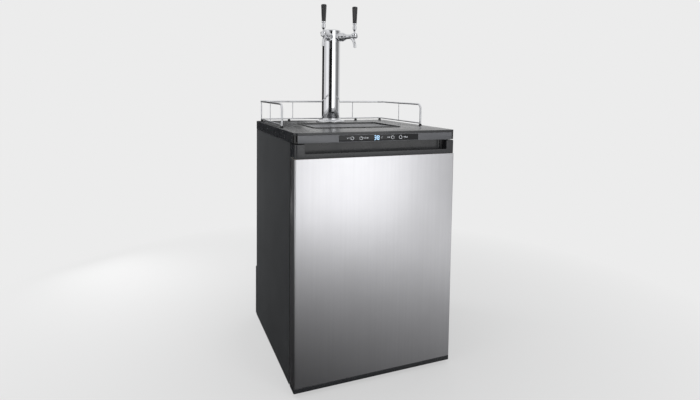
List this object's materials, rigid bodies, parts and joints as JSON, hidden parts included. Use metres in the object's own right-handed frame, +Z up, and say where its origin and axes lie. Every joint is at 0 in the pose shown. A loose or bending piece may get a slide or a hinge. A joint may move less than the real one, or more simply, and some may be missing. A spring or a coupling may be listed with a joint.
{
  "type": "kegerator",
  "caption": "Free-standing beer cooler with a steel door, a drip tray and guard rail on top, and a chrome column with lever taps over a keg cabinet.",
  "frame": {"origin": "middle of the footprint, on the floor", "axes": "+Z up, the door faces -Y, +X to the right as seen from the front"},
  "size_m": [0.6, 0.646, 1.355],
  "materials": {
    "brushed_stainless": "vertical brushed",
    "chrome_plate": "polished",
    "cabinet_paint": "fine textured",
    "black_enamel": "satin",
    "black_abs": "fine grained",
    "gloss_black": "gloss",
    "fascia_grey": "satin",
    "liner_plastic": "satin",
    "lamp_plastic": "frosted",
    "rubber": "matt",
    "galvanised_steel": "galvanised",
    "foam": "foamed",
    "aluminium": "satin",
    "brass": "turned"
  },
  "bodies": {
    "cabinet": {"cabinet_shell": "cabinet_paint", "foam_insulation": "foam", "inner_liner": "liner_plastic", "back_panel": "galvanised_steel", "base_pan": "galvanised_steel", "machine_cover": "black_enamel", "condenser_wires": "black_enamel", "condenser_tube": "black_enamel", "compressor": "black_enamel", "rear_foot_left": "rubber", "rear_foot_right": "rubber", "cord_gland": "rubber", "hinge_bracket_bottom": "black_enamel", "hinge_bracket_top": "black_enamel", "worktop": "black_abs", "control_fascia": "fascia_grey", "display_window": "gloss_black", "guard_rail": "chrome_plate", "rail_foot_1": "rubber", "rail_foot_2": "rubber", "rail_foot_3": "rubber", "rail_foot_4": "rubber", "rail_foot_5": "rubber", "rail_foot_6": "rubber", "tower_flange": "chrome_plate", "tower_column": "chrome_plate", "tower_cap": "chrome_plate", "shank_left": "chrome_plate", "shank_right": "chrome_plate", "coupling_nut_left": "chrome_plate", "coupling_nut_right": "chrome_plate", "tap_body_left": "chrome_plate", "tap_body_right": "chrome_plate", "cold_plate": "aluminium", "fan_housing": "black_abs", "lamp_cover": "lamp_plastic"},
    "door": {"door_skin": "brushed_stainless", "door_core": "foam", "door_liner": "liner_plastic", "door_seal": "rubber", "door_top_cap": "black_abs", "door_bottom_cap": "black_abs"},
    "drip_tray": {"drip_tray": "black_abs"},
    "drip_grate": {"drip_grate": "brushed_stainless"},
    "tap_lever_left": {"lever_left": "chrome_plate", "tap_handle_left": "black_abs"},
    "tap_lever_right": {"lever_right": "chrome_plate", "tap_handle_right": "black_abs"},
    "tap_shaft_left": {"tap_shaft_left": "chrome_plate"},
    "tap_shaft_right": {"tap_shaft_right": "chrome_plate"},
    "fan_rotor": {"fan_rotor": "black_abs"},
    "gas_cylinder": {"gas_cylinder": "aluminium", "cylinder_valve": "brass", "regulator": "brass", "pressure_gauge_1": "chrome_plate", "pressure_gauge_2": "chrome_plate"},
    "valve_wheel": {"valve_wheel": "black_abs"},
    "regulator_knob": {"regulator_knob": "black_abs"},
    "levelling_foot_left": {"levelling_foot_left": "black_abs"},
    "levelling_foot_right": {"levelling_foot_right": "black_abs"}
  },
  "joints": [
    {"name": "door_hinge", "type": "hinge", "parent": "cabinet", "child": "door", "pos_m": [0.282, -0.295, 0.4], "axis": [0, 0, 1], "range_deg": [0, 120]},
    {"name": "drip_tray_lift", "type": "slide", "parent": "cabinet", "child": "drip_tray", "axis": [0, 0, 1], "range_m": [0, 0.06]},
    {"name": "drip_grate_lift", "type": "slide", "parent": "drip_tray", "child": "drip_grate", "axis": [0, 0, 1], "range_m": [0, 0.04]},
    {"name": "tap_lever_left_hinge", "type": "hinge", "parent": "cabinet", "child": "tap_lever_left", "pos_m": [-0.06768, 0.08534, 1.2435], "axis": [0.8192, -0.5736, 0], "range_deg": [0, 35]},
    {"name": "tap_shaft_left_slide", "type": "slide", "parent": "cabinet", "child": "tap_shaft_left", "axis": [0.5736, 0.8192, 0], "range_m": [0, 0.0056]},
    {"name": "tap_lever_right_hinge", "type": "hinge", "parent": "cabinet", "child": "tap_lever_right", "pos_m": [0.06768, 0.08534, 1.2435], "axis": [0.8192, 0.5736, 0], "range_deg": [0, 35]},
    {"name": "tap_shaft_right_slide", "type": "slide", "parent": "cabinet", "child": "tap_shaft_right", "axis": [-0.5736, 0.8192, 0], "range_m": [0, 0.0056]},
    {"name": "fan_spin", "type": "hinge", "parent": "cabinet", "child": "fan_rotor", "pos_m": [0.196, 0.238, 0.6], "axis": [0, -1, 0], "continuous": true},
    {"name": "gas_cylinder_slide", "type": "slide", "parent": "cabinet", "child": "gas_cylinder", "axis": [0, -1, 0], "range_m": [0, 0.2]},
    {"name": "valve_wheel_turn", "type": "hinge", "parent": "gas_cylinder", "child": "valve_wheel", "pos_m": [-0.185, 0.209, 0.57], "axis": [0, 0, 1], "range_deg": [0, 720]},
    {"name": "regulator_knob_turn", "type": "hinge", "parent": "gas_cylinder", "child": "regulator_knob", "pos_m": [-0.133, 0.19, 0.5542], "axis": [0, 1, 0], "range_deg": [0, 720]},
    {"name": "levelling_foot_left_screw", "type": "slide", "parent": "cabinet", "child": "levelling_foot_left", "axis": [0, 0, -1], "range_m": [0, 0.012]},
    {"name": "levelling_foot_right_screw", "type": "slide", "parent": "cabinet", "child": "levelling_foot_right", "axis": [0, 0, -1], "range_m": [0, 0.012]}
  ],
  "couplings": [
    {"joint": "tap_shaft_left_slide", "follows": "tap_lever_left_hinge", "m_per_rad": 0.009},
    {"joint": "tap_shaft_right_slide", "follows": "tap_lever_right_hinge", "m_per_rad": 0.009}
  ]
}
